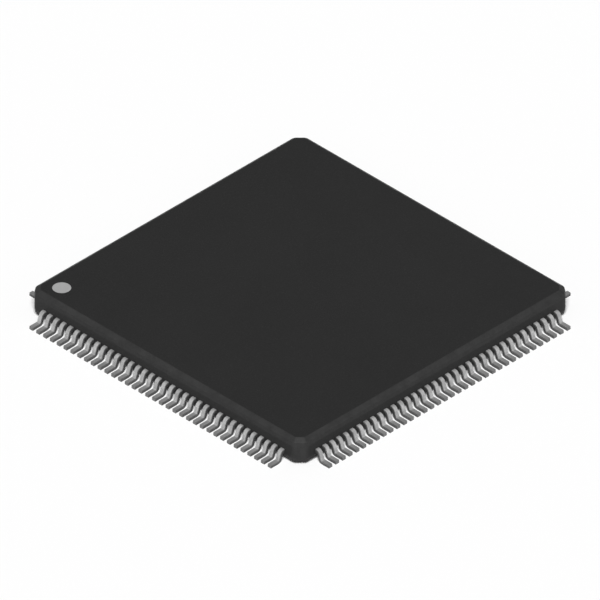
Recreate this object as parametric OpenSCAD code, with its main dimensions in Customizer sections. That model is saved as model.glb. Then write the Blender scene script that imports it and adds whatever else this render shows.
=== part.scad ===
// Quad flat pack chip: a square moulded body with gull-wing leads along its four sides.
// The feet of the leads stand on z = 0, +Z is up and the origin is the centre of the
// footprint. Lead 1 is beside the round mark, and the count runs anticlockwise seen from
// above: left (-X), front (-Y), right (+X), back (+Y).

/* [Moulded body] */
// Width of the square body, across its upright band
body_w = 20; // [16:1:28]
// Thickness of the body
body_h = 1.54; // [1.4:0.02:1.6]
// Gap between the board and the underside of the body
standoff = 0.05; // [0.05:0.01:0.15]
// Cut across each corner, measured along the sides
corner_cut = 0.5; // [0.4:0.05:0.8]
// Radius of the upright edges at both ends of a corner cut
corner_r = 0.35; // [0.34:0.01:0.45]
// Bevel along the top and bottom edges, measured inwards
bevel_in = 0.26; // [0.2:0.01:0.27]
// Bevel along the top and bottom edges, measured in height
bevel_h = 0.185; // [0.15:0.005:0.22]
// Drafted strip beside the bevel, measured inwards
draft_in = 0.053; // [0.03:0.001:0.06]
// Drafted strip beside the bevel, measured in height
draft_h = 0.217; // [0.15:0.001:0.25]

/* [Marks on the body] */
// Diameter of the mark beside lead 1
mark_d = 1; // [0.8:0.05:1.4]
// Distance from the centre of the mark to each side of the body
mark_inset = 1.25; // [1.15:0.05:2]
// Depth of the dimple that holds the mark
mark_depth = 0.06; // [0.05:0.01:0.1]
// Thickness of the ink in the dimple
mark_t = 0.04; // [0.02:0.01:0.05]
// Diameter of the round marks that the mould's ejector pins leave underneath
ejector_d = 1.6; // [1:0.1:2]
// Depth of the ejector marks
ejector_depth = 0.04; // [0.02:0.01:0.06]
// Distance between the centres of two ejector marks
ejector_span = 12; // [8:0.5:12.5]

/* [Leads] */
// Distance between neighbouring leads
pitch = 0.5; // [0.4, 0.5, 0.65, 0.8]
// Length kept free of leads at each end of a side
corner_free = 1; // [0.8:0.1:1.5]
// Width of a lead outside the body
lead_w = 0.235; // [0.17:0.005:0.27]
// Thickness of the lead frame
lead_t = 0.2; // [0.12:0.01:0.22]
// Distance from the side of the body to the tip of a foot
lead_reach = 1; // [0.9:0.05:1.3]
// Height of a lead's upper face where it leaves the body
lead_exit_z = 0.74; // [0.7:0.01:0.85]
// Straight stretch of a lead between the body and its upper bend
shoulder = 0.05; // [0.02:0.01:0.1]
// Inside radius of the upper bend
upper_bend_r = 0.08; // [0.05:0.01:0.12]
// Inside radius of the lower bend
lower_bend_r = 0.06; // [0.04:0.01:0.12]
// Slope of a leg, in degrees from the board
leg_angle = 71; // [65:1:85]

/* [Lead frame inside the body] */
// Distance from the side of the body to the knee where a lead starts to fan in
knee_in = 0.5; // [0.4:0.05:0.8]
// Width of a lead at its inner tip
tip_w = 0.12; // [0.08:0.01:0.13]
// Gap in plan between the edge of the die pad and the inner tips
tip_gap = 0.8; // [0.5:0.05:1]
// Gap between the outermost inner tips and the tie bars
tie_gap = 0.22; // [0.15:0.01:0.3]
// Width of the square pad under the die
pad_w = 9; // [8:0.1:9.5]
// Drop of the pad below the leads
pad_drop = 0.2; // [0.1:0.01:0.25]
// Width of the four bars that tied the pad to the frame
tie_w = 0.3; // [0.2:0.01:0.4]
// Distance from a cut corner of the body to the end of its tie bar
tie_inset = 0.3; // [0.2:0.05:0.5]
// Width of the tape ring that locks the leads together
tape_w = 1; // [0.6:0.05:1.2]
// Thickness of the tape ring
tape_t = 0.075; // [0.05:0.005:0.1]

/* [Die and bond wires] */
// Width of the square die
die_w = 6.6; // [5.5:0.1:7.5]
// Thickness of the die
die_t = 0.28; // [0.2:0.01:0.35]
// Thickness of the adhesive under the die
attach_t = 0.025; // [0.015:0.005:0.04]
// Rim of adhesive that shows around the die
attach_rim = 0.1; // [0.05:0.01:0.2]
// Thickness of a bond wire
wire_d = 0.025; // [0.018:0.001:0.03]
// Diameter of the ball that joins a wire to the die
ball_d = 0.06; // [0.045:0.005:0.075]
// Height of the ball
ball_h = 0.015; // [0.01:0.001:0.02]
// Distance from the edge of the die to the row of balls
bond_inset = 0.12; // [0.08:0.01:0.2]
// Height of a wire loop above the die
loop_h = 0.2; // [0.12:0.01:0.25]
// Length of the flat stitch that joins a wire to its lead
stitch_l = 0.1; // [0.06:0.01:0.15]
// Distance from a lead's inner tip to the start of the stitch
stitch_in = 0.12; // [0.1:0.01:0.2]

/* [Hidden] */
$fn = 48;
round_step = 9;
bend_steps = 5;
sides = ["left", "front", "right", "back"];
side_turns = [180, 270, 0, 90];
banks = 4;
bank_list = [for (s = [0:3]) for (b = [0:banks - 1]) [s, b]];

function bank_name(place) = str("leads_", sides[place[0]], "_", place[1] + 1);
function wires_name(s) = str("bond_wires_", sides[s]);

// Body
half_w = body_w / 2;
top_z = standoff + body_h;
cut_half = (body_w - corner_cut) / sqrt(2);

// Leads outside the body
bank_size = floor((body_w - 2 * corner_free) / (banks * pitch));
side_leads = banks * bank_size;
upper_outer_r = upper_bend_r + lead_t;
lower_outer_r = lower_bend_r + lead_t;
leg_drop = lead_exit_z - upper_outer_r - lower_outer_r;
leg_l = (leg_drop + (upper_outer_r + lower_bend_r) * cos(leg_angle)) / sin(leg_angle);
heel_x = shoulder + leg_l * cos(leg_angle) + (upper_bend_r + lower_outer_r) * sin(leg_angle);

// Leads inside the body
knee_x = half_w - knee_in;
tip_x = pad_w / 2 + tip_gap;
tip_span = tip_x - (tie_w / 2 + tie_gap) * sqrt(2) - tip_w / 2;
tip_pitch = min(pitch, 2 * tip_span / (side_leads - 1));
frame_z = lead_exit_z - lead_t;
tape_mid = (tip_x + knee_x) / 2;

// Stack on the pad
pad_z = frame_z - pad_drop;
attach_z = pad_z + lead_t;
die_z = attach_z + attach_t;
die_top = die_z + die_t;
ball_span = die_w / 2 - 2 * bond_inset;
ball_pitch = 2 * ball_span / (side_leads - 1);

function from_middle(i) = i - (side_leads - 1) / 2;
function bank_leads(b) = [b * bank_size:(b + 1) * bank_size - 1];
function arc(centre, r, from, to) = [
    for (k = [0:bend_steps])
        let (angle = from + (to - from) * k / bend_steps)
            centre + r * [cos(angle), sin(angle)]
];

// Distance from the axis to the side of the body that faces an angle, where the sides and
// cut corners face multiples of 45 and the rounded edges face the angles between.
function side_reach(angle) =
    let (
        turned = angle % 90,
        folded = min(turned, 90 - turned),
        near_x = half_w - corner_r,
        far_x = half_w - corner_cut - corner_r * tan(45 / 2)
    )
    near_x * cos(folded) + far_x * sin(folded) + corner_r;

// Outline of a section across the body, from side to side at a reach from the axis.
function section(reach) =
    let (
        side = [
            [reach - draft_in - bevel_in, standoff],
            [reach - draft_in, standoff + bevel_h],
            [reach, standoff + bevel_h + draft_h],
            [reach, top_z - bevel_h - draft_h],
            [reach - draft_in, top_z - bevel_h],
            [reach - draft_in - bevel_in, top_z]
        ],
        last = len(side) - 1
    )
    concat(side, [for (k = [0:last]) [-side[last - k][0], side[last - k][1]]]);

// The moulding is what the sections across it have in common.
module moulding() {
    intersection_for(angle = [0:round_step:180 - round_step])
        rotate([90, 0, angle])
            linear_extrude(2 * body_w, center = true)
                polygon(section(side_reach(angle)));
}

module at_mark() {
    translate([mark_inset - half_w, half_w - mark_inset, top_z - mark_depth])
        children();
}

module ejector_marks() {
    for (x = [-0.5, 0.5])
        for (y = [-0.5, 0.5])
            translate([x * ejector_span, y * ejector_span, 0])
                cylinder(h = standoff + ejector_depth, d = ejector_d);
}

// Plan of one lead from its inner tip to the start of its upper bend, on the +X side.
module finger_plan(i) {
    tip_y = from_middle(i) * tip_pitch;
    lead_y = from_middle(i) * pitch;
    polygon([
        [tip_x, tip_y - tip_w / 2],
        [knee_x, lead_y - lead_w / 2],
        [half_w + shoulder, lead_y - lead_w / 2],
        [half_w + shoulder, lead_y + lead_w / 2],
        [knee_x, lead_y + lead_w / 2],
        [tip_x, tip_y + tip_w / 2]
    ]);
}

// Side view of a lead outside the body: x from the side of the body, y as height.
module gull_wing() {
    upper_centre = [shoulder, lead_exit_z - upper_outer_r];
    lower_centre = [heel_x, lower_outer_r];
    leg_side = 90 - leg_angle;
    polygon(concat(
        [[0, lead_exit_z]],
        arc(upper_centre, upper_outer_r, 90, leg_side),
        arc(lower_centre, lower_bend_r, 180 + leg_side, 270),
        [[lead_reach, lead_t], [lead_reach, 0]],
        arc(lower_centre, lower_outer_r, 270, 180 + leg_side),
        arc(upper_centre, upper_bend_r, leg_side, 90),
        [[0, frame_z]]
    ));
}

module lead(i) {
    translate([0, 0, frame_z])
        linear_extrude(lead_t)
            finger_plan(i);
    translate([half_w, from_middle(i) * pitch + lead_w / 2, 0])
        rotate([90, 0, 0])
            linear_extrude(lead_w)
                gull_wing();
}

module die_pad_shape() {
    translate([-pad_w / 2, -pad_w / 2, pad_z])
        cube([pad_w, pad_w, lead_t]);
    for (turn = [45:90:315])
        rotate([0, 0, turn])
            tie_bar();
}

// One tie bar along +X: level with the pad, then up a short slope and on at lead level.
module tie_bar() {
    foot_x = pad_w / sqrt(2);
    slope_x = foot_x + pad_drop;
    end_x = cut_half - tie_inset;
    translate([0, tie_w / 2, pad_z])
        rotate([90, 0, 0])
            linear_extrude(tie_w)
                polygon([
                    [foot_x - tie_w, 0],
                    [foot_x, 0],
                    [slope_x, pad_drop],
                    [end_x, pad_drop],
                    [end_x, pad_drop + lead_t],
                    [slope_x, pad_drop + lead_t],
                    [foot_x, lead_t],
                    [foot_x - tie_w, lead_t]
                ]);
}

module square_plate(width, thickness) {
    linear_extrude(thickness)
        square(width, center = true);
}

module tape_shape() {
    difference() {
        square_plate(2 * tape_mid + tape_w, tape_t);
        translate([0, 0, -tape_t])
            square_plate(2 * tape_mid - tape_w, 3 * tape_t);
    }
}

// Outline of a wire along a path of points, with mitred corners.
function unit(v) = v / norm(v);
function left_of(v) = [-v[1], v[0]];
function path_normal(path, k) =
    let (
        before = unit(left_of(path[max(k, 1)] - path[max(k, 1) - 1])),
        after = unit(left_of(path[min(k, len(path) - 2) + 1] - path[min(k, len(path) - 2)]))
    )
    (before + after) / (1 + before * after);
function wire_outline(path) = concat(
    [for (k = [0:len(path) - 1]) path[k] + path_normal(path, k) * wire_d / 2],
    [for (k = [len(path) - 1:-1:0]) path[k] - path_normal(path, k) * wire_d / 2]
);

// One bond wire on the +X side: ball, upright neck, low loop, long slope and flat stitch.
module bond_wire(i) {
    start = [die_w / 2 - bond_inset, from_middle(i) * ball_pitch];
    tip_y = from_middle(i) * tip_pitch;
    knee_y = from_middle(i) * pitch;
    stitch_y = tip_y + stitch_in * (knee_y - tip_y) / (knee_x - tip_x);
    span = [tip_x + stitch_in, stitch_y] - start;
    run = norm(span);
    neck_z = die_top + ball_h;
    loop_z = die_top + loop_h;
    rest_z = lead_exit_z + wire_d / 2;
    path = [
        [0, neck_z],
        [0, loop_z - ball_d],
        [ball_d, loop_z],
        [run, rest_z],
        [run + stitch_l, rest_z]
    ];
    translate([start[0], start[1], 0]) {
        translate([0, 0, die_top])
            cylinder(h = ball_h, d = ball_d);
        rotate([90, 0, atan2(span[1], span[0])])
            linear_extrude(wire_d, center = true)
                polygon(wire_outline(path));
    }
}

module all_fingers() {
    translate([0, 0, frame_z])
        linear_extrude(lead_t)
            for (turn = side_turns)
                rotate(turn)
                    for (i = [0:side_leads - 1])
                        finger_plan(i);
}

module body() {
    color("#2f2f2f")
        difference() {
            moulding();
            at_mark()
                cylinder(h = 2 * mark_depth, d = mark_d);
            ejector_marks();
            all_fingers();
            die_pad_shape();
            tape();
            attach();
            die();
            for (s = [0:3])
                wires(s);
        }
}

module pin_1_mark() {
    color("#a2a2a2")
        at_mark()
            cylinder(h = mark_t, d = mark_d);
}

module die() {
    color("#5b6478")
        translate([0, 0, die_z])
            square_plate(die_w, die_t);
}

module attach() {
    color("#c9ccd1")
        translate([0, 0, attach_z])
            square_plate(die_w + 2 * attach_rim, attach_t);
}

module die_pad() {
    color("#b9825a")
        die_pad_shape();
}

module tape() {
    color("#b5762c")
        translate([0, 0, lead_exit_z])
            tape_shape();
}

module lead_bank(place) {
    color("#b4b4b4")
        rotate([0, 0, side_turns[place[0]]])
            for (i = bank_leads(place[1]))
                lead(i);
}

module wires(s) {
    color("#d9b24a")
        rotate([0, 0, side_turns[s]])
            for (i = [0:side_leads - 1])
                bond_wire(i);
}

body();
pin_1_mark();
die();
attach();  // die_attach
die_pad();
tape();  // lead_tape
for (place = bank_list)
    lead_bank(place);
for (s = [0:3])
    wires(s);
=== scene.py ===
import math

import bmesh
import bpy
import numpy as np
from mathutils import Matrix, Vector


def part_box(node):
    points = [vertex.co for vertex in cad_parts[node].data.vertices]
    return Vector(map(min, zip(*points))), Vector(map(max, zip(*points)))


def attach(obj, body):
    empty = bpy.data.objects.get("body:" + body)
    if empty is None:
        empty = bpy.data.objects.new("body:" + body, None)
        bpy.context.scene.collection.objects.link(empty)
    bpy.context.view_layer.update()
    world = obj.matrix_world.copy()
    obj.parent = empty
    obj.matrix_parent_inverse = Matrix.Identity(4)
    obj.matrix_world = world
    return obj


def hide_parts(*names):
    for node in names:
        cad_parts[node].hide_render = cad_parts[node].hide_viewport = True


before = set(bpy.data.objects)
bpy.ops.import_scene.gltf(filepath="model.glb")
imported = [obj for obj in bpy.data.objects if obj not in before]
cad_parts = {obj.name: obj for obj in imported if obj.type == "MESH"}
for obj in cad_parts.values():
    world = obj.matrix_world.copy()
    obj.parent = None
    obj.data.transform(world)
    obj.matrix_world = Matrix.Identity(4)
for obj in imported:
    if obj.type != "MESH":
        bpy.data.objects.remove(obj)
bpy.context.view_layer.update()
mm = 0.001
print("frame loaded:", len(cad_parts), "nodes")


def addMath(tree, operation, first, second=None, third=None, clamp=False):
    node = tree.nodes.new("ShaderNodeMath")
    node.operation = operation
    node.use_clamp = clamp
    for socket, value in zip(node.inputs, (first, second, third)):
        if isinstance(value, bpy.types.NodeSocket):
            tree.links.new(value, socket)
        elif value is not None:
            socket.default_value = value
    return node.outputs[0]


# Camera: a parallel view from above the corner between the left and front sides
cameraView = dict(
    pixelsPerMm=19.257, pictureSize=600, aimHeight=0.79, distance=200, nearClip=1, farClip=2000,
)


def addCamera(view):
    back = Vector((-1, -1, 1)).normalized()
    data = bpy.data.cameras.new("camera")
    data.type = "ORTHO"
    data.ortho_scale = view["pictureSize"] / view["pixelsPerMm"] * mm
    data.clip_start = view["nearClip"] * mm
    data.clip_end = view["farClip"] * mm
    camera = bpy.data.objects.new("camera", data)
    camera.location = Vector((0, 0, view["aimHeight"] * mm)) + back * view["distance"] * mm
    camera.rotation_mode = "QUATERNION"
    camera.rotation_quaternion = (-back).to_track_quat("-Z", "Y")
    bpy.context.scene.collection.objects.link(camera)
    bpy.context.scene.camera = camera


addCamera(cameraView)


# Studio: one soft key from the camera's side, a dim room with pale walls and a white floor. The floor is
# what the camera and reflections see; other light passes it, so that the underside is lit as well
studio = dict(
    keyLevel=1.2, keyAzimuth=225, keyElevation=52, keySoftness=20,
    roomTop=0.12, wallLevel=0.95, wallHeight=0.12, fromBelow=0.8,
    floorColor=0.93, floorRoughness=0.9, floorSize=2.0,
)


def addSeen(tree):
    # 1 for a ray that shows the background: from the camera, in a reflection or through glass
    path = tree.nodes.new("ShaderNodeLightPath").outputs
    either = addMath(tree, "MAXIMUM", path["Is Camera Ray"], path["Is Glossy Ray"])
    return addMath(tree, "MAXIMUM", either, path["Is Transmission Ray"]), path["Is Camera Ray"]


def addKey(light):
    azimuth, elevation = math.radians(light["keyAzimuth"]), math.radians(light["keyElevation"])
    towards = Vector((
        math.cos(azimuth) * math.cos(elevation),
        math.sin(azimuth) * math.cos(elevation),
        math.sin(elevation),
    ))
    data = bpy.data.lights.new("key", "SUN")
    data.energy = math.pi * light["keyLevel"]  # a white face turned to the lamp shows keyLevel
    data.angle = math.radians(light["keySoftness"])
    lamp = bpy.data.objects.new("key", data)
    lamp.rotation_mode = "QUATERNION"
    lamp.rotation_quaternion = towards.to_track_quat("Z", "Y")
    bpy.context.scene.collection.objects.link(lamp)


def addRoom(light):
    world = bpy.data.worlds.new("room")
    bpy.context.scene.world = world
    world.use_nodes = True
    tree = world.node_tree
    background = tree.nodes["Background"]
    background.inputs["Color"].default_value = (1, 1, 1, 1)
    parts = tree.nodes.new("ShaderNodeSeparateXYZ")
    tree.links.new(tree.nodes.new("ShaderNodeTexCoord").outputs["Generated"], parts.inputs[0])
    above = tree.nodes.new("ShaderNodeMapRange")  # pale walls up to wallHeight, then the dim ceiling
    above.interpolation_type = "SMOOTHSTEP"
    above.inputs["From Max"].default_value = light["wallHeight"]
    above.inputs["To Min"].default_value = light["wallLevel"]
    above.inputs["To Max"].default_value = light["roomTop"]
    tree.links.new(parts.outputs["Z"], above.inputs["Value"])
    seen, fromCamera = addSeen(tree)
    below = addMath(tree, "MAXIMUM", seen, light["fromBelow"])
    isBelow = addMath(tree, "LESS_THAN", parts.outputs["Z"], 0.0)
    difference = addMath(tree, "SUBTRACT", below, above.outputs["Result"])
    level = addMath(tree, "MULTIPLY_ADD", difference, isBelow, above.outputs["Result"])
    tree.links.new(addMath(tree, "MAXIMUM", level, fromCamera), background.inputs["Strength"])


def addFloor(light):
    half = light["floorSize"] / 2
    mesh = bpy.data.meshes.new("floor")
    corners = [(-half, -half, 0), (half, -half, 0), (half, half, 0), (-half, half, 0)]
    mesh.from_pydata(corners, [], [(0, 1, 2, 3)])
    floor = bpy.data.objects.new("floor", mesh)
    bpy.context.scene.collection.objects.link(floor)
    material = bpy.data.materials.new("floorPaint")
    material.use_nodes = True
    nodes, links = material.node_tree.nodes, material.node_tree.links
    paint = nodes["Principled BSDF"]
    paint.inputs["Base Color"].default_value = (*[light["floorColor"]] * 3, 1)
    paint.inputs["Roughness"].default_value = light["floorRoughness"]
    paint.inputs["Specular IOR Level"].default_value = 0
    clear = nodes.new("ShaderNodeBsdfTransparent")
    side = nodes.new("ShaderNodeNewGeometry")
    mix = nodes.new("ShaderNodeMixShader")
    hidden = addMath(material.node_tree, "SUBTRACT", 1.0, addSeen(material.node_tree)[0])
    unseen = addMath(material.node_tree, "MAXIMUM", hidden, side.outputs["Backfacing"])
    links.new(unseen, mix.inputs["Fac"])
    links.new(paint.outputs[0], mix.inputs[1])
    links.new(clear.outputs[0], mix.inputs[2])
    links.new(mix.outputs[0], nodes["Material Output"].inputs["Surface"])
    mesh.materials.append(material)


addKey(studio)
addRoom(studio)
addFloor(studio)
bpy.context.scene.view_settings.view_transform = "Standard"
print("camera, key lamp, room and floor set")


# Surface effects that several finishes share
effects = dict(
    fineTimes=3.1, specksFrom=0.64, specksSlope=9.0,  # grain: its fine noise, whose peaks are the specks
    patchSpread=3.0,  # patchyTone: stretches the noise to about 1 on both sides of its middle
    # The mask that the next two numbers break up mixes in wear and painted light
    breakupReach=1.6, breakupStart=-0.3,  # rub: how far noise breaks up the mask
)
socketKinds = {float: "NodeSocketFloat", tuple: "NodeSocketColor", Vector: "NodeSocketVector"}


def newGroup(name, inputs, outputs):
    tree = bpy.data.node_groups.new(name, "ShaderNodeTree")
    for label, value in inputs.items():
        kind = socketKinds[type(value)]
        tree.interface.new_socket(label, in_out="INPUT", socket_type=kind).default_value = value
    for label, kind in outputs.items():
        tree.interface.new_socket(label, in_out="OUTPUT", socket_type="NodeSocket" + kind)
    return tree, tree.nodes.new("NodeGroupInput").outputs, tree.nodes.new("NodeGroupOutput").inputs


def addNoise(tree, vector, scale, detail=2.0, roughness=0.5):
    node = tree.nodes.new("ShaderNodeTexNoise")
    node.inputs["Detail"].default_value = detail
    node.inputs["Roughness"].default_value = roughness
    tree.links.new(vector, node.inputs["Vector"])
    if isinstance(scale, bpy.types.NodeSocket):
        tree.links.new(scale, node.inputs["Scale"])
    else:
        node.inputs["Scale"].default_value = scale
    return node.outputs["Fac"]


def grey(level):
    return (level, level, level, 1.0)


def mixColor(tree, mask, first, second):
    node = tree.nodes.new("ShaderNodeMix")
    node.data_type = "RGBA"
    tree.links.new(mask, node.inputs["Factor"])
    for socket, value in ((node.inputs["A"], first), (node.inputs["B"], second)):
        if isinstance(value, bpy.types.NodeSocket):
            tree.links.new(value, socket)
        else:
            socket.default_value = value
    return node.outputs["Result"]


def buildGrain():
    # Coarse and fine noise added up: the eroded skin of a mould, a filler or dried ink
    tree, given, made = newGroup(
        "grain", {"Scale": 9000.0, "Fine Share": 0.4}, {"Height": "Float", "Specks": "Float"},
    )
    where = tree.nodes.new("ShaderNodeTexCoord").outputs["Object"]
    coarse = addNoise(tree, where, given["Scale"])
    fineScale = addMath(tree, "MULTIPLY", given["Scale"], effects["fineTimes"])
    fine = addNoise(tree, where, fineScale, detail=1.0)
    share = addMath(tree, "SUBTRACT", fine, coarse)
    tree.links.new(addMath(tree, "MULTIPLY_ADD", share, given["Fine Share"], coarse), made["Height"])
    bright = addMath(tree, "SUBTRACT", fine, effects["specksFrom"])
    tree.links.new(addMath(tree, "MULTIPLY", bright, effects["specksSlope"], clamp=True), made["Specks"])
    return tree


def buildPatchyTone():
    # A colour made up to Amount lighter and darker in soft patches
    tree, given, made = newGroup(
        "patchyTone", {"Color": grey(0.5), "Amount": 0.05, "Scale": 400.0}, {"Color": "Color"},
    )
    where = tree.nodes.new("ShaderNodeTexCoord").outputs["Object"]
    patches = addNoise(tree, where, given["Scale"], detail=4.0, roughness=0.6)
    shift = addMath(tree, "MULTIPLY", addMath(tree, "SUBTRACT", patches, 0.5), effects["patchSpread"])
    tone = addMath(tree, "MULTIPLY_ADD", shift, given["Amount"], 1.0)
    scaled = tree.nodes.new("ShaderNodeVectorMath")
    scaled.operation = "SCALE"
    tree.links.new(given["Color"], scaled.inputs[0])
    tree.links.new(tone, scaled.inputs["Scale"])
    tree.links.new(scaled.outputs[0], made["Color"])
    return tree


def buildWearAndPaintedLight():
    # Where Mask is high, broken up by noise, a surface takes the second colour and roughness: bare spots on
    # the ink, polish on the body's ejector marks, painted light on its pale faces, and a painted highlight
    # with burnish on the leads' bends and legs
    tree, given, made = newGroup(
        "wearAndPaintedLight",
        {
            "Color": grey(0.5), "Roughness": 0.6, "Wear And Painted Light Color": grey(0.7),
            "Masked Roughness": 0.4, "Mask": 0.0, "Scale": 2500.0,
        },
        {"Color": "Color", "Roughness": "Float"},
    )
    where = tree.nodes.new("ShaderNodeTexCoord").outputs["Object"]
    breakup = addNoise(tree, where, given["Scale"], detail=3.0, roughness=0.6)
    reach = addMath(tree, "MULTIPLY_ADD", breakup, effects["breakupReach"], effects["breakupStart"], clamp=True)
    mask = addMath(tree, "MULTIPLY", given["Mask"], reach, clamp=True)
    tree.links.new(mixColor(tree, mask, given["Color"], given["Wear And Painted Light Color"]), made["Color"])
    step = addMath(tree, "SUBTRACT", given["Masked Roughness"], given["Roughness"])
    tree.links.new(addMath(tree, "MULTIPLY_ADD", step, mask, given["Roughness"]), made["Roughness"])
    return tree


def buildDrawnLines():
    # Noise pulled out along the first axis of Vector: the lines of rolled sheet or drawn wire
    tree, given, made = newGroup(
        "drawnLines", {"Vector": Vector((0, 0, 0)), "Across": 40.0, "Along": 3.0}, {"Height": "Float"}
    )
    stretch = tree.nodes.new("ShaderNodeCombineXYZ")
    tree.links.new(given["Along"], stretch.inputs["X"])
    for axis in "YZ":
        tree.links.new(given["Across"], stretch.inputs[axis])
    scaled = tree.nodes.new("ShaderNodeVectorMath")
    scaled.operation = "MULTIPLY"
    tree.links.new(given["Vector"], scaled.inputs[0])
    tree.links.new(stretch.outputs[0], scaled.inputs[1])
    lines = addNoise(tree, scaled.outputs[0], scale=1.0, detail=3.0, roughness=0.6)
    tree.links.new(lines, made["Height"])
    return tree


grain, patchyTone, wearAndPaintedLight, drawnLines = buildGrain(), buildPatchyTone(), buildWearAndPaintedLight(), buildDrawnLines()


class Finish:
    # One material: a Principled shader with constants on its own sockets, and groups beside it
    def __init__(self, name, metallic=0.0, specular=0.5, ior=1.5, coat=0.0):
        self.material = bpy.data.materials.new(name)
        self.material.use_nodes = True
        self.tree = self.material.node_tree
        self.shader = self.tree.nodes["Principled BSDF"]
        self.shader.inputs["Metallic"].default_value = metallic
        self.shader.inputs["Specular IOR Level"].default_value = specular
        self.shader.inputs["IOR"].default_value = ior
        self.shader.inputs["Coat Weight"].default_value = coat

    def place(self, group, values):
        node = self.tree.nodes.new("ShaderNodeGroup")
        node.node_tree = group
        for label, value in values.items():
            if isinstance(value, bpy.types.NodeSocket):
                self.tree.links.new(value, node.inputs[label])
            else:
                node.inputs[label].default_value = value
        return node.outputs

    def placeGrain(self, look):
        return self.place(grain, {"Scale": look["grainScale"], "Fine Share": look["fineShare"]})

    def placeTone(self, look, color):
        values = {"Color": color, "Amount": look["toneAmount"], "Scale": look["toneScale"]}
        return self.place(patchyTone, values)["Color"]

    def placeLines(self, look, vector):
        values = {"Vector": vector, "Across": look["linesAcross"], "Along": look["linesAlong"]}
        return self.place(drawnLines, values)["Height"]

    def roughen(self, height, look):
        rough = addMath(self.tree, "MULTIPLY_ADD", height, look["roughSpread"], look["roughness"])
        self.feed("Roughness", rough)

    def attribute(self, name):
        node = self.tree.nodes.new("ShaderNodeAttribute")
        node.attribute_name = name
        return node.outputs["Fac"]

    def feed(self, socketName, value):
        self.tree.links.new(value, self.shader.inputs[socketName])

    def bump(self, height, depth):
        node = self.tree.nodes.new("ShaderNodeBump")
        node.inputs["Distance"].default_value = depth * mm
        self.tree.links.new(height, node.inputs["Height"])
        self.feed("Normal", node.outputs[0])


# The greys of mould compound, ink and tin plate are tuned to the picture's flat tones; what lies inside has
# typical ones. Depths of grain and lines are in mm
mouldLook = dict(
    # The paler second colour is painted light on the bevels, drafted strips and cut corners, and polish on
    # the ejector marks
    color=0.0215, paintedLightAndPolishColor=0.042, speckColor=0.063, specular=0.15,
    roughness=0.62, roughSpread=0.16, paleFaceRoughness=0.5,
    grainScale=9000.0, fineShare=0.45, grainDepth=0.014, speckShare=0.5,
    broadAmount=0.06, broadScale=260.0, toneAmount=0.16, toneScale=12600.0, breakupScale=1500.0,
)


def makeMouldCompound(look):
    finish = Finish("mouldCompound", specular=look["specular"])
    skin = finish.placeGrain(look)
    broad = finish.place(
        patchyTone,
        {"Color": grey(look["color"]), "Amount": look["broadAmount"], "Scale": look["broadScale"]},
    )
    tone = finish.placeTone(look, broad["Color"])
    specks = addMath(finish.tree, "MULTIPLY", skin["Specks"], look["speckShare"])
    speckled = mixColor(finish.tree, specks, tone, grey(look["speckColor"]))
    smoothest = look["roughness"] - look["roughSpread"] / 2
    rough = addMath(finish.tree, "MULTIPLY_ADD", skin["Height"], look["roughSpread"], smoothest)
    # The mask mixes in a paler colour: painted light on the bevels, drafted strips and cut corners, and the
    # polish of the ejector marks
    maskMixed = finish.place(wearAndPaintedLight, {
        "Color": speckled, "Roughness": rough,
        "Wear And Painted Light Color": grey(look["paintedLightAndPolishColor"]), "Masked Roughness": look["paleFaceRoughness"],
        "Mask": finish.attribute("paintedLightAndPolish"), "Scale": look["breakupScale"],
    })
    finish.feed("Base Color", maskMixed["Color"])
    finish.feed("Roughness", maskMixed["Roughness"])
    finish.bump(skin["Height"], look["grainDepth"])
    return finish.material


inkLook = dict(
    color=0.35, bareColor=0.252, specular=0.3, roughness=0.7, bareRoughness=0.8, bareShare=0.6,
    grainScale=14000.0, fineShare=0.5, grainDepth=0.003,
    toneAmount=0.05, toneScale=3000.0, bareScale=6000.0,
)


def makeMarkInk(look):
    finish = Finish("markInk", specular=look["specular"])
    skin = finish.placeGrain(look)
    tone = finish.placeTone(look, grey(look["color"]))
    bare = addMath(finish.tree, "MULTIPLY", skin["Specks"], look["bareShare"])
    maskMixed = finish.place(wearAndPaintedLight, {
        "Color": tone, "Roughness": look["roughness"],
        "Wear And Painted Light Color": grey(look["bareColor"]), "Masked Roughness": look["bareRoughness"],
        "Mask": bare, "Scale": look["bareScale"],
    })
    finish.feed("Base Color", maskMixed["Color"])
    finish.feed("Roughness", maskMixed["Roughness"])
    finish.bump(skin["Height"], look["grainDepth"])
    return finish.material


tinLook = dict(
    # The paler colour of the bends and legs is a painted highlight, partly burnish
    metallic=0.6, color=0.33, burnishAndHighlightColor=0.72, roughness=0.6, burnishedRoughness=0.5,
    linesAcross=34.0, linesAlong=2.6, streak=0.4, toneSpread=0.05,
    grainScale=18000.0, grainShare=0.6, fineShare=0.4, grainDepth=0.006,
    toneAmount=0.08, toneScale=1800.0, breakupScale=2600.0,
    # The dark colour of the punched sides is partly their dullness and partly painted shade between the
    # leads
    shearAndShadeColor=0.09, punchedFrom=0.01, punchedDullAndShade=0.6,
    breakDullAndShade=0.4, breakFrom=0.5, breakRagged=0.25, breakSlope=9.0,
    copperColor=(0.6, 0.34, 0.22, 1.0), silverColor=(0.82, 0.81, 0.78, 1.0),
    platedFrom=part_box("body")[1][0], silverTo=6.2 * mm,
)


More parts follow.
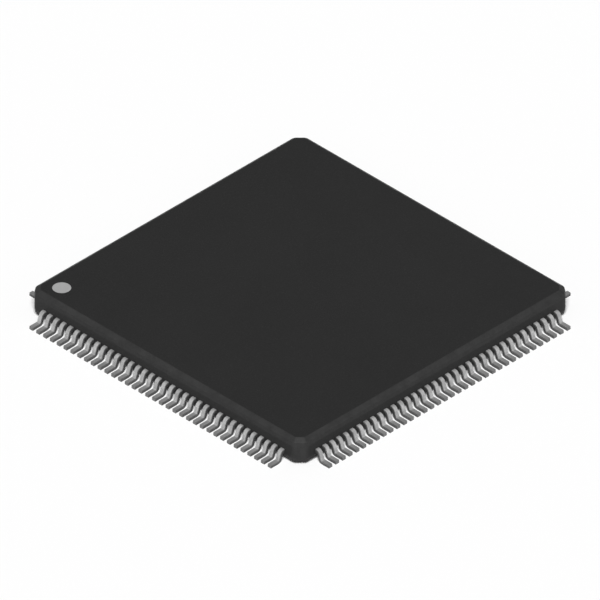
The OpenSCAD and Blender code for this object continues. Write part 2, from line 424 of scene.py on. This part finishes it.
def makeTinPlate(look):
    finish = Finish("tinPlate", metallic=look["metallic"])
    tree = finish.tree
    along = tree.nodes.new("ShaderNodeUVMap")
    along.uv_map = "alongLead"
    lines = finish.placeLines(look, along.outputs[0])
    skin = finish.placeGrain(look)
    tone = finish.placeTone(look, grey(look["color"]))
    streak = addMath(tree, "MULTIPLY_ADD", lines, look["streak"], 1 - look["streak"] / 2)
    each = addMath(tree, "MULTIPLY_ADD", finish.attribute("leadTone"), look["toneSpread"], streak)
    toned = tree.nodes.new("ShaderNodeVectorMath")
    toned.operation = "SCALE"
    tree.links.new(tone, toned.inputs[0])
    tree.links.new(each, toned.inputs["Scale"])
    # Bends and legs take the paler colour: a painted highlight, partly burnish
    maskMixed = finish.place(wearAndPaintedLight, {
        "Color": toned.outputs[0], "Roughness": look["roughness"],
        "Wear And Painted Light Color": grey(look["burnishAndHighlightColor"]), "Masked Roughness": look["burnishedRoughness"],
        "Mask": finish.attribute("burnishAndPaintedHighlight"), "Scale": look["breakupScale"],
    })
    # A punched face is smooth near its upper edge, where the punch sheared it, and dull where it broke off
    # Their darker colour is partly that dullness and partly painted shade between the leads
    depth = finish.attribute("shearAndPaintedShade")
    past = addMath(tree, "SUBTRACT", depth, look["breakFrom"])
    ragged = addMath(tree, "MULTIPLY_ADD", lines, look["breakRagged"], past)
    broken = addMath(tree, "MULTIPLY", ragged, look["breakSlope"], clamp=True)
    isPunched = addMath(tree, "GREATER_THAN", depth, look["punchedFrom"])
    punched = addMath(tree, "MULTIPLY", isPunched, look["punchedDullAndShade"])
    dullAndShade = addMath(tree, "MULTIPLY_ADD", broken, look["breakDullAndShade"], punched, clamp=True)
    cut = mixColor(tree, dullAndShade, maskMixed["Color"], grey(look["shearAndShadeColor"]))
    # Tin covers what stands out of the body. Inside, the copper is bare, with silver at the tips
    parts = tree.nodes.new("ShaderNodeSeparateXYZ")
    tree.links.new(tree.nodes.new("ShaderNodeTexCoord").outputs["Object"], parts.inputs[0])
    sizes = [addMath(tree, "ABSOLUTE", parts.outputs[axis]) for axis in "XY"]
    fromAxis = addMath(tree, "MAXIMUM", *sizes)
    bare = addMath(tree, "LESS_THAN", fromAxis, look["platedFrom"])
    spot = addMath(tree, "LESS_THAN", fromAxis, look["silverTo"])
    inside = mixColor(tree, spot, look["copperColor"], look["silverColor"])
    finish.feed("Base Color", mixColor(tree, bare, cut, inside))
    finish.feed("Roughness", maskMixed["Roughness"])
    grains = addMath(tree, "MULTIPLY", skin["Height"], look["grainShare"])
    finish.bump(addMath(tree, "ADD", lines, grains), look["grainDepth"])
    return finish.material


dieLook = dict(
    halfWidth=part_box("die")[1][0], darkColor=(0.06, 0.07, 0.11, 1.0), paleColor=(0.22, 0.2, 0.23, 1.0),
    padColor=(0.62, 0.62, 0.6, 1.0), padWidth=0.07 * mm, padInset=0.12 * mm, padsPerSide=36,
    blocks=[(0.93, 0.5), (0.31, 0.3), (0.045, 0.2)],  # size of a square in mm, and its share of the tone
    specular=0.8, ior=3.4, toneAmount=0.06, toneScale=900.0,
    roughness=0.1, roughSpread=0.2, grainScale=20000.0, fineShare=0.4, grainDepth=0.0004,
)


def makeSilicon(look):
    # Squares of three sizes, each of one tone, stand for the circuit, inside a rim with a row of bare pads
    finish = Finish("silicon", specular=look["specular"], ior=look["ior"])
    tree = finish.tree
    where = tree.nodes.new("ShaderNodeTexCoord").outputs["Object"]
    tone = 0.0
    for size, share in look["blocks"]:
        snapped = tree.nodes.new("ShaderNodeVectorMath")
        snapped.operation = "SNAP"
        tree.links.new(where, snapped.inputs[0])
        snapped.inputs[1].default_value = (size * mm, size * mm, 1.0)
        cell = tree.nodes.new("ShaderNodeTexWhiteNoise")
        tree.links.new(snapped.outputs[0], cell.inputs["Vector"])
        tone = addMath(tree, "MULTIPLY_ADD", cell.outputs["Value"], share, tone)
    circuit = mixColor(tree, tone, look["darkColor"], look["paleColor"])

    parts = tree.nodes.new("ShaderNodeSeparateXYZ")
    tree.links.new(where, parts.inputs[0])
    sizes = [addMath(tree, "ABSOLUTE", parts.outputs[axis]) for axis in "XY"]
    pitch = 2 * (look["halfWidth"] - 2 * look["padInset"]) / (look["padsPerSide"] - 1)
    alongRow = addMath(tree, "MODULO", addMath(tree, "MINIMUM", *sizes), pitch)
    inRow = addMath(tree, "SUBTRACT", alongRow, pitch / 2)
    rowAt = look["halfWidth"] - look["padInset"]
    across = addMath(tree, "SUBTRACT", addMath(tree, "MAXIMUM", *sizes), rowAt)
    furthest = addMath(tree, "MAXIMUM", *[addMath(tree, "ABSOLUTE", way) for way in (inRow, across)])
    pad = addMath(tree, "LESS_THAN", furthest, look["padWidth"] / 2)
    rim = addMath(tree, "GREATER_THAN", across, -look["padInset"])
    edged = mixColor(tree, rim, circuit, look["darkColor"])
    padded = mixColor(tree, pad, edged, look["padColor"])
    finish.feed("Base Color", finish.placeTone(look, padded))
    skin = finish.placeGrain(look)
    finish.roughen(skin["Height"], look)
    finish.bump(skin["Height"], look["grainDepth"])
    return finish.material


# Finishes of one colour: patches of tone, and a grain that also varies the roughness
adhesiveLook = dict(
    color=(0.56, 0.58, 0.6, 1), metallic=0.4, toneAmount=0.12, toneScale=2400.0, roughness=0.4,
    roughSpread=0.3, grainScale=22000.0, fineShare=0.6, grainDepth=0.004,
)
tapeLook = dict(
    color=(0.6, 0.3, 0.05, 1), coat=0.4, toneAmount=0.12, toneScale=900.0, roughness=0.22,
    roughSpread=0.2, grainScale=5000.0, fineShare=0.2, grainDepth=0.003,
)
goldLook = dict(
    color=(0.88, 0.66, 0.27, 1), metallic=1.0, toneAmount=0.06, toneScale=3000.0, roughness=0.14,
    roughSpread=0.16, grainScale=40000.0, fineShare=0.3, grainDepth=0.0006,
)


def makeEvenFinish(name, look):
    finish = Finish(name, metallic=look.get("metallic", 0.0), coat=look.get("coat", 0.0))
    skin = finish.placeGrain(look)
    finish.feed("Base Color", finish.placeTone(look, look["color"]))
    finish.roughen(skin["Height"], look)
    finish.bump(skin["Height"], look["grainDepth"])
    return finish.material


copperLook = dict(
    color=(0.72, 0.43, 0.29, 1), metallic=1.0, toneAmount=0.1, toneScale=700.0, roughness=0.22,
    roughSpread=0.3, linesAcross=30000.0, linesAlong=900.0, lineDepth=0.002,
)


def makeFrameCopper(look):
    finish = Finish("frameCopper", metallic=look["metallic"])
    where = finish.tree.nodes.new("ShaderNodeTexCoord").outputs["Object"]
    lines = finish.placeLines(look, where)
    finish.feed("Base Color", finish.placeTone(look, look["color"]))
    finish.roughen(lines, look)
    finish.bump(lines, look["lineDepth"])
    return finish.material


mouldCompound = makeMouldCompound(mouldLook)
markInk = makeMarkInk(inkLook)
tinPlate = makeTinPlate(tinLook)
wireGold = makeEvenFinish("wireGold", goldLook)
print("finishes made:", len(bpy.data.materials))


# Mesh helpers
weld = 1e-7  # points closer than this, in metres, are one point


def gridQuads(rows, columns):
    # Quads between neighbouring rows and columns of a grid whose last column joins its first
    index = np.arange(rows * columns).reshape(rows, columns)
    following = np.roll(index, -1, axis=1)
    return np.stack([index[:-1], following[:-1], following[1:], index[1:]], axis=-1)


def setAttribute(mesh, name, domain, values):
    mesh.attributes.new(name, "FLOAT", domain).data.foreach_set("value", np.asarray(values, np.float32))


def closeShell(mesh, openLevels=()):
    # Points that coincide become one, open rims at the given heights are filled, and faces turn outwards
    shell = bmesh.new()
    shell.from_mesh(mesh)
    bmesh.ops.remove_doubles(shell, verts=shell.verts, dist=weld)
    for level in openLevels:
        rim = [
            edge for edge in shell.edges
            if edge.is_boundary and all(abs(end.co.z - level) < weld for end in edge.verts)
        ]
        bmesh.ops.triangle_fill(shell, use_beauty=True, edges=rim)
    bmesh.ops.recalc_face_normals(shell, faces=shell.faces)
    openEdges = sum(not edge.is_manifold for edge in shell.edges)
    print(mesh.name + ":", len(shell.faces), "faces,", openEdges, "open edges")
    shell.to_mesh(mesh)
    shell.free()


def finishPiece(name, mesh, material, replaced, sharpAngle):
    mesh.materials.append(material)
    mesh.polygons.foreach_set("use_smooth", np.ones(len(mesh.polygons), bool))
    mesh.set_sharp_from_angle(angle=math.radians(sharpAngle))
    piece = bpy.data.objects.new(name, mesh)
    bpy.context.scene.collection.objects.link(piece)
    flats = piece.modifiers.new("flats", "WEIGHTED_NORMAL")  # broad faces keep their own normal
    flats.keep_sharp = True
    flats.weight = 100
    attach(piece, "root")
    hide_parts(*replaced)


def unit(vectors):
    return vectors / np.linalg.norm(vectors, axis=-1, keepdims=True)


def roundCorners(line, radius, steps):
    # Every inner point of a line becomes an arc that touches both of its neighbours' lines. About the arc's
    # centre, a point at share s of the turn t is (sin((1 - s) t) * start + sin(s t) * end) / sin(t)
    corners = line[..., 1:-1, :]
    before, after = unit(line[..., :-2, :] - corners), unit(line[..., 2:, :] - corners)
    turn = math.pi - np.arccos((before * after).sum(-1, keepdims=True))
    centre = corners + unit(before + after) * radius / np.cos(turn / 2)
    reach = radius * np.tan(turn / 2)
    start, end = ((corners + way * reach - centre)[..., None, :] for way in (before, after))
    share, turn = np.linspace(0, 1, steps + 1)[:, None], turn[..., None, :]
    arcs = (np.sin((1 - share) * turn) * start + np.sin(share * turn) * end) / np.sin(turn)
    return centre[..., None, :] + arcs


leadPattern = dict(perSide=36, pitch=0.5, width=0.235, thickness=0.2, exitHeight=0.74)


def leadPlaces(pattern):
    return (np.arange(pattern["perSide"]) - (pattern["perSide"] - 1) / 2) * pattern["pitch"]


# Moulded body
bodyCorner, bodyFarCorner = (np.array(c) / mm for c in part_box("body"))
bodyShape = dict(
    halfWidth=bodyFarCorner[0], bottom=bodyCorner[2], top=bodyFarCorner[2],
    cornerCut=0.5, cornerRadius=0.35, cornerSteps=6,
    bevelIn=0.26, bevelHeight=0.185, draftIn=0.053, draftHeight=0.217,
    edgeRadius=0.025, edgeSteps=4, paintedLightRowWidth=0.02, rimScale=0.997, sharpAngle=38,
    # Painted light: the next two values paint the bevels, the drafted strips and the cut corners paler than
    # the top and the sides
    facePaintedLight=(0.0, 0.8, 0.45, 0.0, 0.45, 0.8, 0.0), cutPaintedLight=0.6,  # from the underside to the top face
    solidStep=9, cavityFrom=0.001, pastRecess=1.5,  # the solid's rounded corners turn by solidStep degrees
)
halfCornerTurn = math.radians(22.5)  # an upright edge turns by 45 degrees
dimpleShape = dict(radius=0.5, depth=0.06, x=-8.75, y=8.75, edge=0.012, polish=0.0)
ejectorShape = dict(radius=0.8, depth=0.04, spacing=12, edge=0.02, polish=0.7)
recessShape = dict(steps=64, edgeSteps=3, rimEdges=5, floorRing=0.9)  # shared by dimple and ejector marks


def sectionCorners(shape):
    # Corners of the body's edge, each as how far in it lies and how high, from the bottom up
    bottom, top = shape["bottom"], shape["top"]
    far, near = shape["bevelIn"] + shape["draftIn"], shape["draftIn"]
    low, high = shape["bevelHeight"], shape["bevelHeight"] + shape["draftHeight"]
    return np.array([
        (far, bottom), (near, bottom + low), (0, bottom + high),
        (0, top - high), (near, top - low), (far, top),
    ])


def edgeProfile(shape, slotHeights):
    # Each corner becomes an arc that touches both of its lines, and a row stands the given row width beyond
    # each end of an arc. A row holds its depth, its height and how much painted light it takes, which
    # changes evenly along an arc
    corners = sectionCorners(shape)
    inward = np.array([1.0, 0.0])
    line = np.vstack([corners[0] + inward, corners, corners[-1] + inward])
    arcs = roundCorners(line, shape["edgeRadius"], shape["edgeSteps"])
    arcPaintedLight = np.linspace(shape["facePaintedLight"][:-1], shape["facePaintedLight"][1:], arcs.shape[1]).T
    rounded = np.concatenate([arcs, arcPaintedLight[..., None]], axis=-1)
    along = unit(np.diff(corners, axis=0)) * shape["paintedLightRowWidth"]
    leaving = np.c_[arcs[:-1, -1] + along, shape["facePaintedLight"][1:-1]]
    arriving = np.c_[arcs[1:, 0] - along, shape["facePaintedLight"][1:-1]]
    slotRows = np.array([(0, height, 0) for height in slotHeights])
    rows = [rounded[0]]
    for k in range(len(leaving)):
        upright = slotRows if k == len(leaving) // 2 else slotRows[:0]
        rows += [leaving[k: k + 1], upright, arriving[k: k + 1], rounded[k + 1]]
    return np.vstack(rows)


def planOutline(shape, pattern):
    # One quarter of the outline is a straight side, an arc, a cut corner and an arc, given as arc centres
    # and the directions that face outwards. A point at any depth is centre + (radius - depth) * direction
    radius, cut, half = shape["cornerRadius"], shape["cornerCut"], shape["halfWidth"]
    near, far = half - radius, half - cut - radius * math.tan(halfCornerTurn)
    places = leadPlaces(pattern)
    along = np.sort(np.r_[places - pattern["width"] / 2, 0, places + pattern["width"] / 2])
    following = np.roll(along, -1)
    inLead = np.abs((along + following)[:, None] / 2 - places).min(1) < pattern["width"] / 4
    inLead[-1] = False  # the last stretch runs on round the corner
    angles = np.radians(np.linspace(0, 45, shape["cornerSteps"] + 1))
    angles = np.r_[np.zeros(len(along)), angles, angles + math.pi / 4]
    count = shape["cornerSteps"] + 1
    centres = np.vstack([
        np.c_[np.full(len(along), near), along],
        np.tile([near, far], (count, 1)),
        np.tile([far, near], (count, 1)),
    ])
    slots = np.r_[inLead, np.zeros(2 * count, bool)]
    quarter = np.arange(4) * math.pi / 2
    turned = np.stack([
        np.cos(quarter)[:, None] * centres[:, 0] - np.sin(quarter)[:, None] * centres[:, 1],
        np.sin(quarter)[:, None] * centres[:, 0] + np.cos(quarter)[:, None] * centres[:, 1],
    ], axis=-1).reshape(-1, 2)
    facing = (quarter[:, None] + angles).ravel()
    # The cut corners' paler tone is painted light, rising round the arcs from the sides
    rise = np.linspace(0, shape["cutPaintedLight"], count)
    cutPaintedLight = np.r_[np.zeros(len(along)), rise, rise[::-1]]
    return turned, np.c_[np.cos(facing), np.sin(facing)], np.tile(slots, 4), np.tile(cutPaintedLight, 4)


def recess(x, y, level, up, own, shape):
    # Rings from a rim on the flat face, round an edge and down to a flat floor that closes at its centre.
    # Wall and floor are as polished as the pin that formed them
    radius, depth, edge = own["radius"], own["depth"], own["edge"]
    turn = np.radians(np.linspace(90, 0, shape["edgeSteps"] + 1))
    rings = np.vstack([
        [[radius + shape["rimEdges"] * edge, 0]],
        np.c_[radius + edge - edge * np.cos(turn), -edge + edge * np.sin(turn)],
        [[radius, -depth], [radius * shape["floorRing"], -depth], [0, -depth]],
    ])
    angle = np.linspace(0, 2 * math.pi, shape["steps"], endpoint=False)
    points = np.empty((len(rings), len(angle), 3))
    points[..., 0] = x + rings[:, :1] * np.cos(angle)
    points[..., 1] = y + rings[:, :1] * np.sin(angle)
    points[..., 2] = level + up * rings[:, 1:]
    return points, np.repeat([0] * (len(rings) - 3) + [own["polish"]] * 3, len(angle))


def cavityOf(nodeName, shape):
    # The walls inside the CAD body: its triangles that lie deeper than its outer faces, marks and dimple
    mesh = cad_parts[nodeName].data
    points = np.empty(len(mesh.vertices) * 3)
    mesh.vertices.foreach_get("co", points)
    points = points.reshape(-1, 3) / mm
    corners = np.empty(len(mesh.loops), int)
    mesh.loops.foreach_get("vertex_index", corners)
    corners = corners.reshape(-1, 3)
    middle = points[corners].mean(1)
    angle = np.arange(0, 360, shape["solidStep"])
    folded = np.radians(np.minimum(angle % 90, 90 - angle % 90))
    near = shape["halfWidth"] - shape["cornerRadius"]
    far = shape["halfWidth"] - shape["cornerCut"] - shape["cornerRadius"] * math.tan(halfCornerTurn)
    reach = near * np.cos(folded) + far * np.sin(folded) + shape["cornerRadius"]
    facing = np.stack([np.cos(np.radians(angle)), np.sin(np.radians(angle))])
    sideDepth = (reach - middle[:, :2] @ facing).min(1)
    section = sectionCorners(shape)
    depth = np.minimum.reduce([
        sideDepth - np.interp(middle[:, 2], section[:, 1], section[:, 0]),
        middle[:, 2] - shape["bottom"] - shape["pastRecess"] * ejectorShape["depth"],
        shape["top"] - middle[:, 2] - shape["pastRecess"] * dimpleShape["depth"],
    ])
    kept = corners[depth > shape["cavityFrom"]]
    used, renumbered = np.unique(kept, return_inverse=True)
    return points[used], renumbered.reshape(-1, 3)


def makeBody(shape, pattern):
    slotHeights = [pattern["exitHeight"] - pattern["thickness"], pattern["exitHeight"]]
    profile = edgeProfile(shape, slotHeights)
    centres, facing, slots, cutPaintedLight = planOutline(shape, pattern)
    skin = np.empty((len(profile), len(centres), 3))
    skin[..., :2] = centres + (shape["cornerRadius"] - profile[:, 0])[:, None, None] * facing
    skin[..., 2] = profile[:, 1:2]
    rims = skin[[0, -1]] * [shape["rimScale"], shape["rimScale"], 1]
    skin = np.concatenate([rims[:1], skin, rims[1:]])
    # The mask of painted light on the bevels, drafted strips and cut corners; the ejector marks add their
    # polish to it below
    paintedLightAndPolish = np.maximum(np.r_[0, profile[:, 2], 0][:, None], cutPaintedLight)
    paintedLightAndPolish[[0, -1]] = 0
    quads = gridQuads(*skin.shape[:2])
    # The skin is left open where the leads come out, and the walls of their channels join it there
    lowRow = 1 + int(np.argmin(np.abs(profile[:, 1] - slotHeights[0]) + profile[:, 0]))
    solid = np.ones(quads.shape[:2], bool)
    solid[lowRow, slots] = False
    blocks = [(skin, quads[solid], paintedLightAndPolish.ravel())]
    out = ejectorShape["spacing"] / 2
    places = [(dimpleShape["x"], dimpleShape["y"], shape["top"], 1, dimpleShape)]
    places += [(x, y, shape["bottom"], -1, ejectorShape) for x in (-out, out) for y in (-out, out)]
    for place in places:
        points, polished = recess(*place, recessShape)
        blocks.append((points, gridQuads(*points.shape[:2]).reshape(-1, 4), polished))
    walls, triangles = cavityOf("body", shape)
    blocks.append((walls, triangles, np.zeros(len(walls))))

    vertices, faces, mask, offset = [], [], [], 0
    for points, cells, values in blocks:
        vertices.append(points.reshape(-1, 3))
        faces += (cells + offset).tolist()
        mask.append(values)
        offset += len(vertices[-1])
    mesh = bpy.data.meshes.new("mouldedBody")
    mesh.from_pydata(np.vstack(vertices) * mm, [], faces)
    setAttribute(mesh, "paintedLightAndPolish", "POINT", np.concatenate(mask))

    closeShell(mesh, [shape["top"] * mm, shape["bottom"] * mm])
    finishPiece("mouldedBody", mesh, mouldCompound, ["body"], shape["sharpAngle"])


makeBody(bodyShape, leadPattern)


# Ink in the dimple beside lead 1
inkShape = dict(
    radius=0.498, meniscus=0.008, power=6, rimAt=0.985, rimDrop=0.006, rings=9, steps=96, sharpAngle=50,
)


def makeInk(shape):
    # A disc whose top rises from its middle to its rim with the given power of the radius, round at the rim
    lower, upper = (np.array(c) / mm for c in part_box("pin_1_mark"))
    x, y = (lower[:2] + upper[:2]) / 2
    share = np.linspace(0, 1, shape["rings"])
    top = upper[2] - shape["meniscus"] + shape["meniscus"] * share ** shape["power"]
    radii = np.r_[share * shape["radius"] * shape["rimAt"], shape["radius"], shape["radius"], 0]
    heights = np.r_[top, upper[2] - shape["rimDrop"], lower[2], lower[2]]
    angle = np.linspace(0, 2 * math.pi, shape["steps"], endpoint=False)
    points = np.empty((len(radii), len(angle), 3))
    points[..., 0] = x + radii[:, None] * np.cos(angle)
    points[..., 1] = y + radii[:, None] * np.sin(angle)
    points[..., 2] = heights[:, None]
    mesh = bpy.data.meshes.new("markDisc")
    quads = gridQuads(*points.shape[:2]).reshape(-1, 4)
    mesh.from_pydata(points.reshape(-1, 3) * mm, [], quads.tolist())
    closeShell(mesh)
    finishPiece("markDisc", mesh, markInk, ["pin_1_mark"], shape["sharpAngle"])


makeInk(inkShape)
print("body and mark made")


# Leads: a rectangle carried from the inner tip, over the knee and out through both bends to the foot
leadShape = dict(
    shoulder=0.05, upperBend=0.08, lowerBend=0.06, legAngle=71, bendSteps=5, reach=1.0,
    kneeIn=0.5, tipWidth=0.12, tipAt=5.3, cornerGap=0.37, banks=4, toneSeed=144, mapShift=7.0,
    # The knee and heel values, with the bends between them, set how far the paler colour goes: a painted
    # highlight, partly burnish
    kneeBurnishAndHighlight=0.4, heelBurnishAndHighlight=0.2, sharpAngle=40,
    # How far the punched sides and the toe are painted darker: partly their dullness, partly painted shade
    # between the leads
    shearShadeTop=0.1, shearShadeFoot=1, shearShadeToe=0.3,  # a punched side's upper and lower edge, and the toe
)
sideTurns = dict(left=180, front=270, right=0, back=90)


def leadPath(shape, pattern, halfWidth):
    # The upper and the lower line of a lead seen from the side: straight stretches joined by arcs, and the
    # two arcs of a bend share their centre
    thick, exitHeight = pattern["thickness"], pattern["exitHeight"]
    upperOuter, lowerOuter = shape["upperBend"] + thick, shape["lowerBend"] + thick
    slope = math.radians(shape["legAngle"])
    drop = exitHeight - upperOuter - lowerOuter
    leg = (drop + (upperOuter + shape["lowerBend"]) * math.cos(slope)) / math.sin(slope)
    across = shape["upperBend"] + lowerOuter
    heel = shape["shoulder"] + leg * math.cos(slope) + across * math.sin(slope)
    turn = np.linspace(0, 1, shape["bendSteps"] + 1)[:, None] * slope
    upperWay = np.hstack([np.sin(turn), np.cos(turn)])
    lowerWay = -upperWay[::-1]
    upperCentre = np.array([halfWidth + shape["shoulder"], exitHeight - upperOuter])
    lowerCentre = np.array([halfWidth + heel, lowerOuter])
    knee, toe = halfWidth - shape["kneeIn"], halfWidth + shape["reach"]
    top = np.vstack([
        [[shape["tipAt"], exitHeight], [knee, exitHeight]],
        upperCentre + upperOuter * upperWay, lowerCentre + shape["lowerBend"] * lowerWay, [[toe, thick]],
    ])
    under = np.vstack([
        [[shape["tipAt"], exitHeight - thick], [knee, exitHeight - thick]],
        upperCentre + shape["upperBend"] * upperWay, lowerCentre + lowerOuter * lowerWay, [[toe, 0]],
    ])
    return top, under


def leadTips(shape, pattern):
    # The inner tips stand closer together than the leads outside, so that they clear the tie bars
    span = shape["tipAt"] - shape["cornerGap"] * math.sqrt(2) - shape["tipWidth"] / 2
    tipPitch = min(pattern["pitch"], 2 * span / (pattern["perSide"] - 1))
    return leadPlaces(pattern) / pattern["pitch"] * tipPitch


def turnToSide(points, side):
    cos, sin = math.cos(math.radians(sideTurns[side])), math.sin(math.radians(sideTurns[side]))
    return points @ np.array([[cos, sin, 0], [-sin, cos, 0], [0, 0, 1]])


def makeBank(name, side, places, tipPlaces, tones, shape, pattern):
    top, under = leadPath(shape, pattern, bodyShape["halfWidth"])
    stations, count = len(top), len(places)
    half = np.full(stations, pattern["width"] / 2)
    half[0] = shape["tipWidth"] / 2
    middle = np.tile(places[:, None], (1, stations))
    middle[:, 0] = tipPlaces
    points = np.empty((count, stations, 4, 3))
    for corner, (line, way) in enumerate([(top, -1), (top, 1), (under, 1), (under, -1)]):
        points[:, :, corner, 0] = line[:, 0]
        points[:, :, corner, 1] = middle + way * half
        points[:, :, corner, 2] = line[:, 1]
    points = turnToSide(points, side)

    ends = np.array([[0, 1, 2, 3], [-1, -2, -3, -4]]) % (4 * stations)
    each = np.concatenate([gridQuads(stations, 4).reshape(-1, 4)[:, ::-1], ends])
    faces = (each + 4 * stations * np.arange(count)[:, None, None]).reshape(-1, 4)
    mesh = bpy.data.meshes.new(name)
    mesh.from_pydata(points.reshape(-1, 3) * mm, [], faces.tolist())

    # The map runs in millimetres: along the middle of the lead, and once round its section
    line = (top + under) / 2
    along = np.r_[0, np.cumsum(np.linalg.norm(np.diff(line, axis=0), axis=1))]
    width, thick = pattern["width"], pattern["thickness"]
    around = np.array([0, width, width + thick, 2 * width + thick, 2 * width + 2 * thick])
    row = np.arange(stations - 1)[:, None] + np.array([1, 1, 0, 0])
    column = np.arange(4)[:, None] + np.array([0, 1, 1, 0])
    wrap = np.stack([
        np.broadcast_to(along[row][:, None], (stations - 1, 4, 4)),
        np.broadcast_to(around[column][None], (stations - 1, 4, 4)),
    ], axis=-1).reshape(-1, 2)
    flat = np.array([[0, 0], [0, width], [thick, width], [thick, 0]] * 2)
    shifts = np.repeat(tones * shape["mapShift"], len(wrap) + len(flat))
    uv = np.tile(np.vstack([wrap, flat]), (count, 1)) + shifts[:, None]
    mesh.uv_layers.new(name="alongLead").data.foreach_set("uv", uv.astype(np.float32).ravel())

    # The bends and legs are painted paler: a painted highlight, partly burnish
    bends = 2 * (shape["bendSteps"] + 1)
    burnishAndPaintedHighlight = np.r_[0, 0, shape["kneeBurnishAndHighlight"], np.ones(bends - 2), shape["heelBurnishAndHighlight"], 0]
    setAttribute(mesh, "burnishAndPaintedHighlight", "POINT", np.tile(np.repeat(burnishAndPaintedHighlight, 4), count))
    # The punched sides are painted darker towards their lower edge: partly their dullness, partly painted
    # shade between the leads
    high, low, toe = shape["shearShadeTop"], shape["shearShadeFoot"], shape["shearShadeToe"]
    section = [0] * 4 + [high, low, low, high] + [0] * 4 + [low, high, high, low]
    shearAndPaintedShade = np.r_[np.tile(section, stations - 1), [0] * 4, [toe] * 4]
    setAttribute(mesh, "shearAndPaintedShade", "CORNER", np.tile(shearAndPaintedShade, count))
    setAttribute(mesh, "leadTone", "POINT", np.repeat(tones, 4 * stations))
    finishPiece("formed_" + name, mesh, tinPlate, [name], shape["sharpAngle"])


def makeLeads(shape, pattern):
    places, tips = leadPlaces(pattern), leadTips(shape, pattern)
    draw = np.random.default_rng(shape["toneSeed"])
    size = pattern["perSide"] // shape["banks"]
    for side in sideTurns:
        tones = draw.uniform(-1, 1, pattern["perSide"])
        for bank in range(shape["banks"]):
            some = slice(bank * size, (bank + 1) * size)
            name = f"leads_{side}_{bank + 1}"
            makeBank(name, side, places[some], tips[some], tones[some], shape, pattern)


makeLeads(leadShape, leadPattern)
print("leads made:", 4 * leadPattern["perSide"])


# Bond wires: a section of a few sides, shaded round, carried up from the ball on the die, over the loop and
# down to the flat stitch
wireShape = dict(
    diameter=0.025, ballDiameter=0.06, ballHeight=0.015, ballWall=0.6, inset=0.12, loopHeight=0.2,
    bendRadius=0.05, bendSteps=2, stitchIn=0.12, stitchLength=0.1, stitchThickness=0.01, sides=6,
    sharpAngle=65,
)


def makeWires(side, shape, leads, pattern):
    # In the upright plane of each wire, a station is its distance along the run, its height, its radius and
    # how flat it is. A point is station + radius * (cos(a) * flat * upward normal + sin(a) * level normal)
    dieFarCorner = np.array(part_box("die")[1]) / mm
    halfDie, dieTop = dieFarCorner[0], dieFarCorner[2]
    places, tips = leadPlaces(pattern), leadTips(leads, pattern)
    knee = bodyShape["halfWidth"] - leads["kneeIn"]
    ballReach = halfDie - 2 * shape["inset"]
    start = np.c_[np.full(len(places), halfDie - shape["inset"]), places / places[-1] * ballReach]
    stitch = np.c_[
        np.full(len(places), leads["tipAt"] + shape["stitchIn"]),
        tips + shape["stitchIn"] * (places - tips) / (knee - leads["tipAt"]),
    ]
    run = np.linalg.norm(stitch - start, axis=1)
    way = (stitch - start) / run[:, None]

    count, ball = len(places), shape["ballDiameter"]
    neck, loop = dieTop + shape["ballHeight"], dieTop + shape["loopHeight"]
    rest = pattern["exitHeight"] + shape["diameter"] / 2
    line = np.empty((count, 4, 2))
    line[:] = [(0, neck), (0, loop - ball), (ball, loop), (0, rest)]
    line[:, 3, 0] = run
    bends = roundCorners(line, shape["bendRadius"], shape["bendSteps"]).reshape(count, -1, 2)
    ballSide = dieTop + shape["ballWall"] * shape["ballHeight"]
    foot = np.tile([(0, dieTop), (0, ballSide), (0, neck)], (count, 1, 1))
    sink = (shape["stitchThickness"] - shape["diameter"]) / 2
    tail = line[:, [3, 3]] + [(0, 0), (shape["stitchLength"], sink)]
    stations = np.concatenate([foot, bends, tail], axis=1)
    rounds = stations.shape[1]
    radius = np.r_[ball / 2, ball / 2, np.full(rounds - 2, shape["diameter"] / 2)]
    flat = np.r_[np.ones(rounds - 1), shape["stitchThickness"] / shape["diameter"]]

    heading = unit(np.gradient(stations, axis=1))
    heading[:, :3], heading[:, -1] = (0, 1), (1, 0)
    upward = np.stack([-heading[..., 1], heading[..., 0]], axis=-1)
    angle = np.linspace(0, 2 * math.pi, shape["sides"], endpoint=False)
    rise = (radius * flat)[:, None, None] * np.cos(angle)[:, None]
    inPlane = stations[:, :, None] + rise * upward[:, :, None]
    level = radius[:, None] * np.sin(angle)
    startX, startY = start.T[:, :, None, None]
    wayX, wayY = way.T[:, :, None, None]
    points = np.empty((count, rounds, len(angle), 3))
    points[..., 0] = startX + inPlane[..., 0] * wayX - level * wayY
    points[..., 1] = startY + inPlane[..., 0] * wayY + level * wayX
    points[..., 2] = inPlane[..., 1]

    each = gridQuads(rounds, len(angle)).reshape(-1, 4)[:, ::-1]
    first = np.arange(count)[:, None, None] * rounds * len(angle)
    feet = first[:, 0] + np.arange(len(angle))
    faces = (each + first).reshape(-1, 4).tolist() + feet.tolist()
    faces += (feet + (rounds - 1) * len(angle))[:, ::-1].tolist()
    mesh = bpy.data.meshes.new("round_wires_" + side)
    mesh.from_pydata(turnToSide(points, side).reshape(-1, 3) * mm, [], faces)
    replaced = ["bond_wires_" + side]
    finishPiece("round_wires_" + side, mesh, wireGold, replaced, shape["sharpAngle"])


for side in sideTurns:
    makeWires(side, wireShape, leadShape, leadPattern)
print("bond wires made:", 4 * leadPattern["perSide"])


# The other pieces inside keep their CAD shapes and get their own finishes
insideFinishes = dict(
    die=makeSilicon(dieLook),
    die_attach=makeEvenFinish("dieAdhesive", adhesiveLook),
    die_pad=makeFrameCopper(copperLook),
    lead_tape=makeEvenFinish("lockTape", tapeLook),
)
for nodeName, material in insideFinishes.items():
    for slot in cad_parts[nodeName].material_slots:
        slot.material = material
print("inner pieces finished:", len(insideFinishes))
